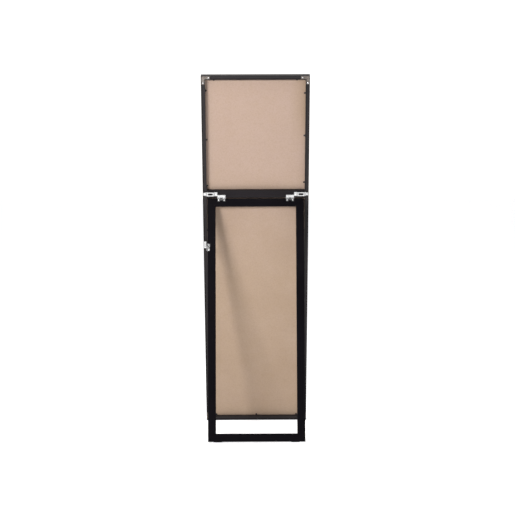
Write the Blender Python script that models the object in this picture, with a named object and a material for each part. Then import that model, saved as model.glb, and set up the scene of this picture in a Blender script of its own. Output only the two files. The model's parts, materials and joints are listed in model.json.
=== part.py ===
"""Full-length floor mirror in a slim aluminium frame, with a folding easel stand on its back.

The glass faces -Y and the stand is on the +Y side. Z is up and the floor is z = 0.
"Left" and "right" are the sides seen from the front, so right is +X.
"""
from math import atan2, cos, pi, radians, sin

import bmesh
import bpy
from mathutils import Matrix, Vector

# Driving sizes, in metres and radians
WIDTH = 0.400
HEIGHT = 1.400
DEPTH = 0.030
LEAN = radians(14.0)
STAND_TILT = radians(9.5)
OPENING = LEAN + STAND_TILT
GAP = 0.0003

# Frame extrusion: a shallow channel open to the back, and a groove that holds the glass pack
RAIL = 0.0150
WALL = 0.0013
INNER_WALL = 0.0012
FRONT_LIP = 0.0100
CHANNEL_DEPTH = 0.0050
POCKET_DEPTH = 0.0170
FLANGE_EDGE = 0.0065
RAIL_ROUND = 0.00035

# Glass pack, from the front to the back
GLASS = 0.0040
FILM = 0.0004
FOAM = 0.0026
PANEL = 0.0030
PACK_SIDE_PLAY = 0.0007

# Stand: mitred rectangular tube
LEG_FACE = 0.0300
LEG_DEPTH = 0.0150
TUBE_WALL = 0.0012
TUBE_ROUND = 0.0018
STAND_WIDTH = 0.3640
HINGE_HEIGHT = 0.9330
HINGE_BEHIND = 0.0015
HINGE_SLACK = 0.0010

# Crossbar between the side rails, just above the hinge line
BAR_HEIGHT = 0.0300
BAR_DEPTH = 0.0150

# Sheet-metal pieces
BRACKET_ARM = 0.0310
BRACKET_WIDTH = 0.0110
BRACKET_SHEET = 0.0020
BRACKET_EDGE = 0.0020
BRACKET_FILLET = 0.0012
BRACKET_SCREW_INSET = 0.0060
HANGER_INNER = 0.1450
HANGER_OUTER = 0.1980
HANGER_HEIGHT = 0.0150
HANGER_END_HEIGHT = 0.0110
HANGER_SHEET = 0.0015
HANGER_RAISE = 0.0034
HANGER_SLOPE = 0.0040
HANGER_INNER_FOOT = 0.0100
HANGER_OUTER_FOOT = 0.0110
HANGER_STEP = 0.0090
SLOT_CENTRE = 0.1710
SLOT_LENGTH = 0.0190
SLOT_HEIGHT = 0.0075
HANGER_SCREWS = (0.1500, 0.1922)

HINGE_X = 0.1295
HINGE_WIDTH = 0.0300
LEAF_LENGTH = 0.0115
LEAF_SHEET = 0.0012
LEAF_FILLET = 0.0008
LEAF_START = 0.0009
LEAF_NOTCH_HALF = 0.0060
LEAF_NOTCH_RISE = 0.0045
BARREL_RADIUS = 0.0022
BORE_RADIUS = 0.00125
PIN_RADIUS = 0.0011
PIN_TIP = 0.0004
LEAF_SCREW_X = 0.0105
LEAF_SCREW_Z = 0.0072

STAY_DISTANCE = 0.1860
STAY_PIVOT_BEHIND = 0.0046
STAY_SHEET = 0.0012
STAY_LAYER = STAY_SHEET + GAP
STAY_EAR_X = 0.1890
STAY_LINK_WIDTH = 0.0070
STAY_PLATE_LENGTH = 0.0270
STAY_FRAME_PLATE = 0.0092
STAY_LEG_PLATE = 0.0120
STAY_SCREW_SPREAD = 0.0090
STAY_FRAME_SCREW_X = 0.1937
STAY_LEG_SCREW_INSET = 0.0036
STAY_FILLET = 0.0016
STAY_EAR_HALF = 0.0042
RIVET_RADIUS = 0.0015
RIVET_HOLE = 0.0018
RIVET_HEAD = 0.0026
RIVET_RISE = 0.0008

# Screws: heads, shanks, and how deep each group goes
SCREW_HEAD = 0.0027
SCREW_SHANK = 0.0013
SCREW_HOLE = 0.0016
HEAD_RISES = ((1.0, 0.0), (1.0, 0.0007), (0.8, 0.0012), (0.4, 0.0014))
HANGER_SCREW = 0.0100
LEAF_SCREW = 0.0060
STAY_FRAME_SCREW = 0.0080
STAY_LEG_SCREW = 0.0060
RAIL_HOLE = 0.0105
TUBE_HOLE = 0.0060

# Round cutters: how far they pass a surface, how much sheet they cross, and their sides
OVERCUT = 0.0010
SHEET_CUT = 0.0030
HOLE_SIDES = 12
BORE_SIDES = 16
BARREL_SIDES = 20

# Rubber pads under the feet
PAD_THICKNESS = 0.0015
PAD_LENGTH = 0.0300
FRAME_PAD_X = 0.1500
FRAME_PAD_BACK = 0.0040
FRAME_PAD_FRONT = 0.0180
STAND_PAD_X = 0.1450
STAND_PAD_BACK = 0.0035
STAND_PAD_FRONT = 0.0125

# Finishes: linear colour, roughness, metallic
FINISHES = {
    "frame_black": ((0.040, 0.036, 0.038), 0.42, 0.35),
    "stand_black": ((0.010, 0.009, 0.011), 0.45, 0.20),
    "zinc_steel": ((0.62, 0.62, 0.63), 0.35, 0.90),
    "bracket_steel": ((0.40, 0.38, 0.36), 0.40, 0.90),
    "screw_steel": ((0.70, 0.70, 0.71), 0.30, 0.95),
    "rubber_black": ((0.020, 0.020, 0.021), 0.85, 0.0),
    "mirror_glass": ((0.90, 0.92, 0.92), 0.02, 1.0),
    "safety_film": ((0.55, 0.58, 0.60), 0.40, 0.0),
    "foam_white": ((0.85, 0.85, 0.83), 0.80, 0.0),
    "back_board": ((0.52, 0.39, 0.30), 0.70, 0.0),
}

# Worked out from the sizes above. The frame leans about its back bottom edge.
PAD_BOTTOM = GAP + PAD_THICKNESS
FRAME_FOOT_LOW = FRAME_PAD_BACK * sin(LEAN) - PAD_BOTTOM * cos(LEAN)
HINGE_RISE = HINGE_HEIGHT * cos(LEAN) - HINGE_BEHIND * sin(LEAN)
STAND_PAD_EDGE = HINGE_BEHIND + STAND_PAD_FRONT
STAND_REACH = (HINGE_RISE - FRAME_FOOT_LOW - STAND_PAD_EDGE * sin(STAND_TILT)) / cos(STAND_TILT)
STAND_LENGTH = STAND_REACH - PAD_BOTTOM
FRONT_Y = -DEPTH * cos(LEAN)
HINGE_Y = HINGE_HEIGHT * sin(LEAN) + HINGE_BEHIND * cos(LEAN)
HEEL_Y = (STAND_LENGTH - TUBE_ROUND) * sin(STAND_TILT) + TUBE_ROUND
HEEL_Y -= (HINGE_BEHIND + TUBE_ROUND) * cos(STAND_TILT)
BACK_Y = HINGE_Y + HEEL_Y
STAY_SWING = pi / 2 + OPENING / 2 + atan2(STAY_PIVOT_BEHIND - HINGE_BEHIND, STAY_DISTANCE)
STAY_RADIUS = ((STAY_PIVOT_BEHIND - HINGE_BEHIND) ** 2 + STAY_DISTANCE ** 2) ** 0.5
STAY_LINK = STAY_RADIUS * sin(OPENING / 2)


def clear_scene():
    """Remove what the scene holds."""
    for item in list(bpy.data.objects):
        bpy.data.objects.remove(item, do_unlink=True)


def make_material(name, colour, roughness, metallic):
    """One Principled material."""
    material = bpy.data.materials.new(name)
    material.use_nodes = True
    shader = material.node_tree.nodes["Principled BSDF"]
    shader.inputs["Base Color"].default_value = (*colour, 1.0)
    shader.inputs["Roughness"].default_value = roughness
    shader.inputs["Metallic"].default_value = metallic
    return material


def make_empty(name, parent, location, turn=0.0):
    """An empty that carries a group, turned about X."""
    empty = bpy.data.objects.new(name, None)
    bpy.context.scene.collection.objects.link(empty)
    empty.parent = parent
    empty.location = location
    empty.rotation_euler = (turn, 0.0, 0.0)
    return empty


def make_object(name, mesh, material, parent, location=(0, 0, 0), turn_y=0.0):
    """A named object in the scene, turned about its own Y where a side repeats."""
    item = bpy.data.objects.new(name, mesh)
    bpy.context.scene.collection.objects.link(item)
    item.parent = parent
    item.location = location
    item.rotation_euler = (0.0, turn_y, 0.0)
    if material and not mesh.materials:
        mesh.materials.append(material)
    return item


def finish_mesh(name, bm, smooth_below=35.0):
    """Turn a bmesh into a mesh with its faces out, smooth except at sharp edges."""
    bmesh.ops.recalc_face_normals(bm, faces=bm.faces)
    if bm.calc_volume(signed=True) < 0:
        bmesh.ops.reverse_faces(bm, faces=bm.faces)
    mesh = bpy.data.meshes.new(name)
    bm.to_mesh(mesh)
    bm.free()
    mesh.shade_smooth()
    mesh.set_sharp_from_angle(angle=radians(smooth_below))
    return mesh


def fillet(corners, radius, steps):
    """Round every corner of a closed outline with an arc of the given radius."""
    points = []
    count = len(corners)
    for index, corner in enumerate(corners):
        here = Vector(corner)
        back = (Vector(corners[index - 1]) - here).normalized()
        ahead = (Vector(corners[(index + 1) % count]) - here).normalized()
        half = back.angle(ahead) / 2
        reach = radius / sin(half) * cos(half)
        middle = here + (back + ahead).normalized() * radius / sin(half)
        first = here + back * reach - middle
        last = here + ahead * reach - middle
        sweep = first.angle_signed(last)
        for step in range(steps + 1):
            turned = Matrix.Rotation(-sweep * step / steps, 2) @ first
            points.append(tuple(middle + turned))
    return points


def rectangle(width, height, radius, steps, centre=(0.0, 0.0)):
    """A rectangle outline with rounded corners."""
    a, b = centre
    w = width / 2
    h = height / 2
    corners = [(a - w, b - h), (a + w, b - h), (a + w, b + h), (a - w, b + h)]
    return fillet(corners, radius, steps)


def circle(radius, sides, centre=(0.0, 0.0)):
    """A circle outline."""
    a, b = centre
    turns = [2 * pi * step / sides for step in range(sides)]
    return [(a + radius * cos(turn), b + radius * sin(turn)) for turn in turns]


def extrude_outline(bm, outline, low, high):
    """Add a prism along Z. low and high give its end height at each point of the outline."""
    foot = [bm.verts.new((a, b, low(a))) for a, b in outline]
    face = bm.faces.new(foot)
    result = bmesh.ops.extrude_face_region(bm, geom=[face])
    for vert in result["geom"]:
        if isinstance(vert, bmesh.types.BMVert):
            vert.co.z = high(vert.co.x)


def extrude_ring(bm, outer, inner, low, high):
    """Add a hollow prism along Z whose two outlines have the same number of points."""
    loops = []
    for outline in (outer, inner):
        for end in (low, high):
            loops.append([bm.verts.new((a, b, end(a))) for a, b in outline])
    outer_low, outer_high, inner_low, inner_high = loops
    count = len(outer)
    for index in range(count):
        after = (index + 1) % count
        for first, second in (
            (outer_low, outer_high),
            (outer_high, inner_high),
            (inner_high, inner_low),
            (inner_low, outer_low),
        ):
            bm.faces.new((first[index], first[after], second[after], second[index]))


def add_box(bm, low, high):
    """Add a box between two corners."""
    size = Vector(high) - Vector(low)
    centre = (Vector(high) + Vector(low)) / 2
    made = bmesh.ops.create_cube(bm, size=1.0)
    bmesh.ops.scale(bm, vec=size, verts=made["verts"])
    bmesh.ops.translate(bm, vec=centre, verts=made["verts"])
    return made["verts"]


def add_turned(bm, profile, sides, place):
    """Add a solid turned about Z from (radius, height) points, then move it by a matrix."""
    rings = []
    for radius, height in profile:
        rings.append([bm.verts.new((a, b, height)) for a, b in circle(radius, sides)])
    for lower, upper in zip(rings, rings[1:]):
        for index in range(sides):
            after = (index + 1) % sides
            bm.faces.new((lower[index], lower[after], upper[after], upper[index]))
    bm.faces.new(rings[0])
    bm.faces.new(rings[-1])
    bmesh.ops.transform(bm, matrix=place, verts=[vert for ring in rings for vert in ring])


def add_rod(bm, radius, length, sides, place):
    """Add a round rod along Z, then move it by a matrix."""
    add_turned(bm, [(radius, 0.0), (radius, length)], sides, place)


def facing_back(x, y, z):
    """A matrix that stands a turned piece on a point, with its own Z towards +Y."""
    return Matrix.Translation((x, y, z)) @ Matrix.Rotation(-pi / 2, 4, "X")


def facing_side(x, y, z):
    """A matrix that lays a turned piece along X, with its own Z towards +X."""
    return Matrix.Translation((x, y, z)) @ Matrix.Rotation(pi / 2, 4, "Y")


def plate_mesh(name, outline, thickness):
    """A flat plate: the outline lies in XZ, and the sheet runs from y = 0 to +thickness."""
    bm = bmesh.new()
    extrude_outline(bm, [(a, -b) for a, b in outline], lambda a: 0.0, lambda a: thickness)
    bmesh.ops.transform(bm, matrix=Matrix.Rotation(-pi / 2, 4, "X"), verts=bm.verts)
    return finish_mesh(name, bm)


def cut(item, name, cutters, parent, operation="DIFFERENCE"):
    """Cut an object with one hidden cutter made of several closed bodies."""
    mesh = finish_mesh(name, cutters)
    cutter = make_object(name, mesh, None, parent)
    cutter.hide_render = True
    cutter.display_type = "WIRE"
    modifier = item.modifiers.new(name, "BOOLEAN")
    modifier.operation = operation
    modifier.object = cutter


def hole_cutters(places, radius, low, high):
    """Round cutters along Y through each (x, z) place."""
    bm = bmesh.new()
    for x, z in places:
        add_rod(bm, radius, high - low, HOLE_SIDES, facing_back(x, low, z))
    return bm


def drill_tube(tube, name, places, back, parent):
    """Drill screw holes into a tube's back wall, which lies at y = back."""
    cut(tube, name, hole_cutters(places, SCREW_HOLE, back - TUBE_HOLE, back + OVERCUT), parent)


def mitred_sides(names, width, height, make_mesh, parent, material, foot=0.0):
    """Four mitred bars round a rectangle whose lower edge is at height foot.

    Each bar's own X runs inwards, its Y is the depth and its Z runs along it, so turning it
    about Y by quarter turns gives the left, right, bottom and top sides.
    """
    places = (
        ((-width / 2, 0.0, foot), 0.0, height),
        ((width / 2, 0.0, foot + height), pi, height),
        ((width / 2, 0.0, foot), -pi / 2, width),
        ((-width / 2, 0.0, foot + height), pi / 2, width),
    )
    bars = []
    for name, (location, turn, length) in zip(names, places):
        bars.append(make_object(name, make_mesh(name, length), material, parent, location, turn))
    return bars


def mitre_ends(length):
    """End heights of a mitred bar, with half the joint's gap taken off each end."""
    share = GAP / 2 * 2 ** 0.5
    return (lambda inward: inward + share), (lambda inward: length - inward - share)


def rail_mesh(name, length):
    """One frame extrusion."""
    inner = RAIL - INNER_WALL
    lip = -(DEPTH - WALL)
    floor = CHANNEL_DEPTH + INNER_WALL
    shelf = POCKET_DEPTH - INNER_WALL
    outline = [
        (0.0, 0.0), (WALL, 0.0), (WALL, -CHANNEL_DEPTH), (inner, -CHANNEL_DEPTH), (inner, 0.0),
        (RAIL, 0.0), (RAIL, -POCKET_DEPTH), (FLANGE_EDGE, -POCKET_DEPTH), (FLANGE_EDGE, -shelf),
        (inner, -shelf), (inner, -floor), (WALL, -floor), (WALL, lip), (FRONT_LIP, lip),
        (FRONT_LIP, -DEPTH), (0.0, -DEPTH),
    ]
    low, high = mitre_ends(length)
    bm = bmesh.new()
    extrude_outline(bm, fillet(outline, RAIL_ROUND, 2), low, high)
    return finish_mesh(name, bm)


def tube_mesh(name, length, height, depth, behind, ends=None):
    """One rectangular tube, from its own X = 0 inwards and from Y = -behind forwards."""
    low, high = ends or mitre_ends(length)
    centre = (height / 2, -behind - depth / 2)
    inner_size = (height - 2 * TUBE_WALL, depth - 2 * TUBE_WALL)
    bm = bmesh.new()
    extrude_ring(
        bm,
        rectangle(height, depth, TUBE_ROUND, 4, centre),
        rectangle(*inner_size, TUBE_ROUND - TUBE_WALL, 4, centre),
        low,
        high,
    )
    return finish_mesh(name, bm)


def make_frame(parent, material):
    """The four mitred rails of the mirror's frame."""
    names = ("frame_rail_left", "frame_rail_right", "frame_rail_bottom", "frame_rail_top")
    return mitred_sides(names, WIDTH, HEIGHT, rail_mesh, parent, material)


def make_glass_pack(parent, materials):
    """Mirror glass, safety film, foam and back panel, stacked behind the front lip."""
    edge = WALL + PACK_SIDE_PLAY
    front = -DEPTH + WALL + GAP
    layers = (
        ("mirror_glass", GLASS),
        ("safety_film", FILM),
        ("foam_sheet", FOAM),
        ("back_panel", PANEL),
    )
    for name, thickness in layers:
        bm = bmesh.new()
        if name == "back_panel":
            front = -POCKET_DEPTH - GAP - PANEL
        low = (-WIDTH / 2 + edge, front, edge)
        high = (WIDTH / 2 - edge, front + thickness, HEIGHT - edge)
        add_box(bm, low, high)
        make_object(name, finish_mesh(name, bm), materials[name], parent)
        front += thickness + GAP


def make_corner_brackets(parent, material, screw_material):
    """An L-shaped plate in each corner of the channel, with a clamp screw in each arm."""
    near = BRACKET_EDGE
    far = BRACKET_EDGE + BRACKET_ARM
    wide = BRACKET_EDGE + BRACKET_WIDTH
    outline = [(near, near), (far, near), (far, wide), (wide, wide), (wide, far), (near, far)]
    mesh = plate_mesh("corner_bracket", fillet(outline, BRACKET_FILLET, 3), BRACKET_SHEET)
    rest = -CHANNEL_DEPTH + GAP
    middle = (near + wide) / 2
    along = far - BRACKET_SCREW_INSET
    corners = (
        ("bottom_left", -1, 0.0, 0.0),
        ("bottom_right", 1, 0.0, -pi / 2),
        ("top_right", 1, HEIGHT, pi),
        ("top_left", -1, HEIGHT, pi / 2),
    )
    all_places = []
    for corner, side, height, turn in corners:
        place = (side * WIDTH / 2, rest, height)
        bracket = make_object("corner_bracket_" + corner, mesh.copy(), material, parent, place, turn)
        inward = -side
        upward = 1 if height == 0.0 else -1
        spots = ((middle, along), (along, middle))
        places = [(place[0] + inward * a, height + upward * b) for a, b in spots]
        cut(bracket, "bracket_holes_" + corner,
            hole_cutters(places, SCREW_HOLE, rest - OVERCUT, OVERCUT), parent)
        all_places += places
    make_screws("corner_screw", all_places, rest + BRACKET_SHEET, BRACKET_SHEET, parent, screw_material)


def make_screws(name, places, seat, shank, parent, material):
    """A pan-head screw at each (x, z) place: heads a gap above y = seat, shanks towards -Y."""
    profile = [(SCREW_SHANK, -shank), (SCREW_SHANK, GAP)]
    profile += [(SCREW_HEAD * share, GAP + rise) for share, rise in HEAD_RISES]
    bm = bmesh.new()
    add_turned(bm, profile, HOLE_SIDES, facing_back(0.0, 0.0, 0.0))
    mesh = finish_mesh(name, bm)
    for number, (x, z) in enumerate(places, start=1):
        make_object(f"{name}_{number}", mesh, material, parent, (x, seat, z))


def make_crossbar(parent, material):
    """The rectangular tube between the side rails that carries the hinges."""
    length = WIDTH - 2 * RAIL - 2 * GAP
    ends = ((lambda inward: 0.0), (lambda inward: length))
    mesh = tube_mesh("crossbar", length, BAR_HEIGHT, BAR_DEPTH, 0.0, ends)
    place = (length / 2, 0.0, HINGE_HEIGHT + HINGE_SLACK)
    return make_object("crossbar", mesh, material, parent, place, -pi / 2)


def hanger_mesh(name, side):
    """A hanging plate with a raised middle: a bent strip, extruded over its height."""
    low = GAP
    high = GAP + HANGER_RAISE
    sheet = HANGER_SHEET
    inner_foot = HANGER_INNER + HANGER_INNER_FOOT
    outer_foot = HANGER_OUTER - HANGER_OUTER_FOOT
    inner_top = inner_foot + HANGER_SLOPE
    outer_top = outer_foot - HANGER_SLOPE
    top = [
        (HANGER_OUTER, low + sheet), (outer_foot, low + sheet), (outer_top, high + sheet),
        (inner_top, high + sheet), (inner_foot, low + sheet), (HANGER_INNER, low + sheet),
    ]
    under = [
        (HANGER_INNER, low), (inner_foot + sheet / 2, low), (inner_top + sheet / 2, high),
        (outer_top - sheet / 2, high), (outer_foot - sheet / 2, low), (HANGER_OUTER, low),
    ]
    half = HANGER_HEIGHT / 2
    outline = [(side * a, b) for a, b in top + under]
    bm = bmesh.new()
    extrude_outline(bm, outline, lambda a: -half, lambda a: half)
    return finish_mesh(name, bm, 20.0)


def hanger_cutters(side, middle, screw_places):
    """The slot, the narrow outer end and the screw holes of one hanging plate."""
    cutters = bmesh.new()
    radius = SLOT_HEIGHT / 2
    reach = SLOT_LENGTH / 2 - radius
    arc = [pi / 2 + pi * step / 8 for step in range(9)]
    slot = [(-reach + radius * cos(t), radius * sin(t)) for t in arc]
    slot += [(reach - radius * cos(t), -radius * sin(t)) for t in arc]
    extrude_outline(cutters, slot, lambda a: 0.0, lambda a: DEPTH / 2)
    bmesh.ops.transform(
        cutters, matrix=facing_back(side * SLOT_CENTRE, -OVERCUT, middle), verts=cutters.verts
    )
    step = (HANGER_HEIGHT - HANGER_END_HEIGHT) / 2
    ends = sorted((side * (HANGER_OUTER - HANGER_STEP), side * (HANGER_OUTER + OVERCUT)))
    for upward in (-1, 1):
        edge = middle + upward * HANGER_HEIGHT / 2
        heights = sorted((edge - upward * step, edge + upward * OVERCUT))
        add_box(cutters, (ends[0], -OVERCUT, heights[0]), (ends[1], SHEET_CUT, heights[1]))
    for x, z in screw_places:
        add_rod(cutters, SCREW_HOLE, SHEET_CUT, HOLE_SIDES, facing_back(x, -OVERCUT / 2, z))
    return cutters


def make_hangers(frame_axes, rails, material, screw_material):
    """The slotted hanging plates that tie the crossbar to the side rails, and their screws."""
    middle = HINGE_HEIGHT + HINGE_SLACK + BAR_HEIGHT / 2
    bar_places = []
    for side, word, rail in ((-1, "left", rails[0]), (1, "right", rails[1])):
        name = "hanging_plate_" + word
        mesh = hanger_mesh(name, side)
        plate = make_object(name, mesh, material, frame_axes, (0, 0, middle))
        places = [(side * x, middle) for x in HANGER_SCREWS]
        cut(plate, "hanger_cut_" + word, hanger_cutters(side, middle, places), frame_axes)
        bar_places.append(places[0])
        rail_places = [places[1]]
        if side > 0:
            rail_places += stay_frame_screw_places()
        holes = hole_cutters(rail_places, SCREW_HOLE, -RAIL_HOLE, OVERCUT)
        cut(rail, "rail_holes_" + word, holes, frame_axes)
        seat = GAP + HANGER_SHEET
        name = "hanging_screw_" + word
        make_screws(name, places, seat, HANGER_SCREW, frame_axes, screw_material)
    return bar_places


def hinge_leaf(name, centre, upward, parent, material, own, other):
    """One leaf: a plate with its own barrels joined on and room cut for the other leaf's.

    The lower leaf ends in two screw tabs with a notch between them.
    """
    middle = upward * (LEAF_START + LEAF_LENGTH / 2)
    rise = GAP - HINGE_BEHIND
    outline = rectangle(HINGE_WIDTH, LEAF_LENGTH, LEAF_FILLET, 2, (centre, middle))
    mesh = plate_mesh(name, outline, LEAF_SHEET)
    mesh.transform(Matrix.Translation((0, rise, 0)))
    leaf = make_object(name, mesh, material, parent)
    groups = ((own, BARREL_RADIUS, "UNION"), (other, BARREL_RADIUS + GAP, "DIFFERENCE"))
    for spans, radius, operation in groups:
        barrels = bmesh.new()
        for low, high in spans:
            place = facing_side(centre + low, 0.0, 0.0)
            add_rod(barrels, radius, high - low, BARREL_SIDES, place)
        cut(leaf, name + "_" + operation.lower(), barrels, parent, operation)
    places = [(centre + x, upward * LEAF_SCREW_Z) for x in (-LEAF_SCREW_X, LEAF_SCREW_X)]
    holes = hole_cutters(places, SCREW_HOLE, rise - OVERCUT, rise + LEAF_SHEET + OVERCUT)
    bore_start = facing_side(centre - HINGE_WIDTH / 2 - OVERCUT, 0.0, 0.0)
    add_rod(holes, BORE_RADIUS, HINGE_WIDTH + 2 * OVERCUT, BORE_SIDES, bore_start)
    if upward < 0:
        tip = -LEAF_START - LEAF_LENGTH
        low = (centre - LEAF_NOTCH_HALF, rise - OVERCUT, tip - OVERCUT)
        high = (centre + LEAF_NOTCH_HALF, rise + LEAF_SHEET + OVERCUT, tip + LEAF_NOTCH_RISE)
        add_box(holes, low, high)
    cut(leaf, name + "_holes", holes, parent)
    return places


def make_hinge_pin(name, centre, parent, material):
    """A hinge pin along X with a chamfer at both ends."""
    tip = PIN_RADIUS * 0.75
    profile = [
        (tip, -PIN_TIP), (PIN_RADIUS, 0.0), (PIN_RADIUS, HINGE_WIDTH), (tip, HINGE_WIDTH + PIN_TIP),
    ]
    bm = bmesh.new()
    add_turned(bm, profile, BORE_SIDES, facing_side(centre - HINGE_WIDTH / 2, 0.0, 0.0))
    make_object(name, finish_mesh(name, bm), material, parent)


def make_hinges(hinge_axes, stand_axes, material, screw_material):
    """Two butt hinges on the stand's axis. Returns the screw places of each side."""
    half = HINGE_WIDTH / 2
    near = HINGE_WIDTH / 6 - GAP / 2
    far = HINGE_WIDTH / 6 + GAP / 2
    frame_barrels = [(-half, -far), (far, half)]
    frame_room = [(-far, far)]
    stand_barrels = [(-near, near)]
    stand_room = [(-half - GAP, -near), (near, half + GAP)]
    frame_places = []
    stand_places = []
    for side, word in ((-1, "left"), (1, "right")):
        centre = side * HINGE_X
        frame_places += hinge_leaf("hinge_frame_leaf_" + word, centre, 1, hinge_axes, material,
                                   frame_barrels, frame_room)
        stand_places += hinge_leaf("hinge_stand_leaf_" + word, centre, -1, stand_axes, material,
                                   stand_barrels, stand_room)
        make_hinge_pin("hinge_pin_" + word, centre, hinge_axes, material)
    seat = GAP + LEAF_SHEET - HINGE_BEHIND
    make_screws("hinge_frame_screw", frame_places, seat, LEAF_SCREW, hinge_axes, screw_material)
    make_screws("hinge_stand_screw", stand_places, seat, LEAF_SCREW, stand_axes, screw_material)
    return frame_places, stand_places


def make_stand(parent, material):
    """The four mitred tubes of the easel stand, below its hinge axis."""
    names = ("stand_leg_left", "stand_leg_right", "stand_bottom_tube", "stand_top_tube")

    def make_mesh(name, length):
        return tube_mesh(name, length, LEG_FACE, LEG_DEPTH, HINGE_BEHIND)

    height = STAND_LENGTH - HINGE_SLACK
    return mitred_sides(names, STAND_WIDTH, height, make_mesh, parent, material, -STAND_LENGTH)


def stay_frame_screw_places():
    """Where the stay's frame bracket is screwed into the right rail's channel."""
    z = HINGE_HEIGHT - STAY_DISTANCE
    return [(STAY_FRAME_SCREW_X, z + rise) for rise in (-STAY_SCREW_SPREAD, STAY_SCREW_SPREAD)]


def stay_leg_screw_places():
    """Where the stay's leg bracket is screwed into the right leg, below the hinge axis."""
    inner_edge = STAY_EAR_X - 3 * STAY_LAYER + STAY_SHEET - STAY_LEG_PLATE
    x = inner_edge + STAY_LEG_SCREW_INSET
    return [(x, rise - STAY_DISTANCE) for rise in (-STAY_SCREW_SPREAD, STAY_SCREW_SPREAD)]


def side_plate(bm, outline, low_x, thickness, height=0.0):
    """Add a plate in the YZ plane from (down, back) points, between two X values."""
    made = bmesh.new()
    extrude_outline(made, outline, lambda a: 0.0, lambda a: thickness)
    place = Matrix.Translation((low_x, 0.0, height)) @ Matrix.Rotation(pi / 2, 4, "Y")
    bmesh.ops.transform(made, matrix=place, verts=made.verts)
    piece = bpy.data.meshes.new("plate")
    made.to_mesh(piece)
    made.free()
    bm.from_mesh(piece)
    bpy.data.meshes.remove(piece)


def stay_bracket(name, plate_x, ear_x, back, height, screw_places, parent, material):
    """A screwed plate with an ear bent up along one edge, and the ear's rivet hole."""
    low_x, high_x = plate_x
    size = (high_x - low_x, STAY_PLATE_LENGTH)
    outline = rectangle(*size, STAY_FILLET, 3, ((low_x + high_x) / 2, height))
    mesh = plate_mesh(name, outline, STAY_SHEET)
    mesh.transform(Matrix.Translation((0, back + GAP, 0)))
    bracket = make_object(name, mesh, material, parent)
    ear = bmesh.new()
    foot = back + GAP + STAY_SHEET / 2
    pivot = back + STAY_PIVOT_BEHIND
    turns = [pi * step / 10 for step in range(11)]
    crown = [(STAY_EAR_HALF * cos(t), pivot + STAY_LINK_WIDTH / 2 * sin(t)) for t in turns]
    points = [(STAY_EAR_HALF, foot)] + crown + [(-STAY_EAR_HALF, foot)]
    side_plate(ear, points, ear_x, STAY_SHEET, height)
    cut(bracket, name + "_ear", ear, parent, "UNION")
    holes = hole_cutters(screw_places, SCREW_HOLE, back - OVERCUT, back - OVERCUT + SHEET_CUT)
    rivet_place = facing_side(ear_x - OVERCUT, pivot, height)
    add_rod(holes, RIVET_HOLE, SHEET_CUT, BORE_SIDES, rivet_place)
    cut(bracket, name + "_holes", holes, parent)


def stay_link(name, reach, low_x, parent, material):
    """One flat link from its own pivot to a second hole at height reach."""
    radius = STAY_LINK_WIDTH / 2
    down = -reach
    sign = 1 if down > 0 else -1
    arc = [pi / 2 + pi * step / 8 for step in range(9)]
    near = [(sign * radius * cos(t), radius * sin(t)) for t in arc]
    far = [(down - sign * radius * cos(t), -radius * sin(t)) for t in arc]
    bm = bmesh.new()
    side_plate(bm, near + far, low_x, STAY_SHEET)
    link = make_object(name, finish_mesh(name, bm), material, parent)
    holes = bmesh.new()
    for height in (0.0, reach):
        place = facing_side(low_x - OVERCUT, 0.0, height)
        add_rod(holes, RIVET_HOLE, SHEET_CUT, BORE_SIDES, place)
    cut(link, name + "_holes", holes, parent)


def stay_rivet(name, low_x, high_x, heads, back, height, parent, material):
    """A rivet along X with a low head on the stated ends."""
    head = ((RIVET_RADIUS, 0.0), (RIVET_HEAD, 0.0), (RIVET_HEAD, RIVET_RISE * 0.6),
            (RIVET_HEAD * 0.7, RIVET_RISE))
    top = high_x - low_x
    profile = [(RIVET_RADIUS, 0.0)]
    if "low" in heads:
        profile = [(radius, -GAP - rise) for radius, rise in reversed(head)]
    if "high" in heads:
        profile += [(radius, top + GAP + rise) for radius, rise in head]
    else:
        profile += [(RIVET_RADIUS, top)]
    bm = bmesh.new()
    add_turned(bm, profile, BORE_SIDES, facing_side(low_x, back, height))
    make_object(name, finish_mesh(name, bm), material, parent)


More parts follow.
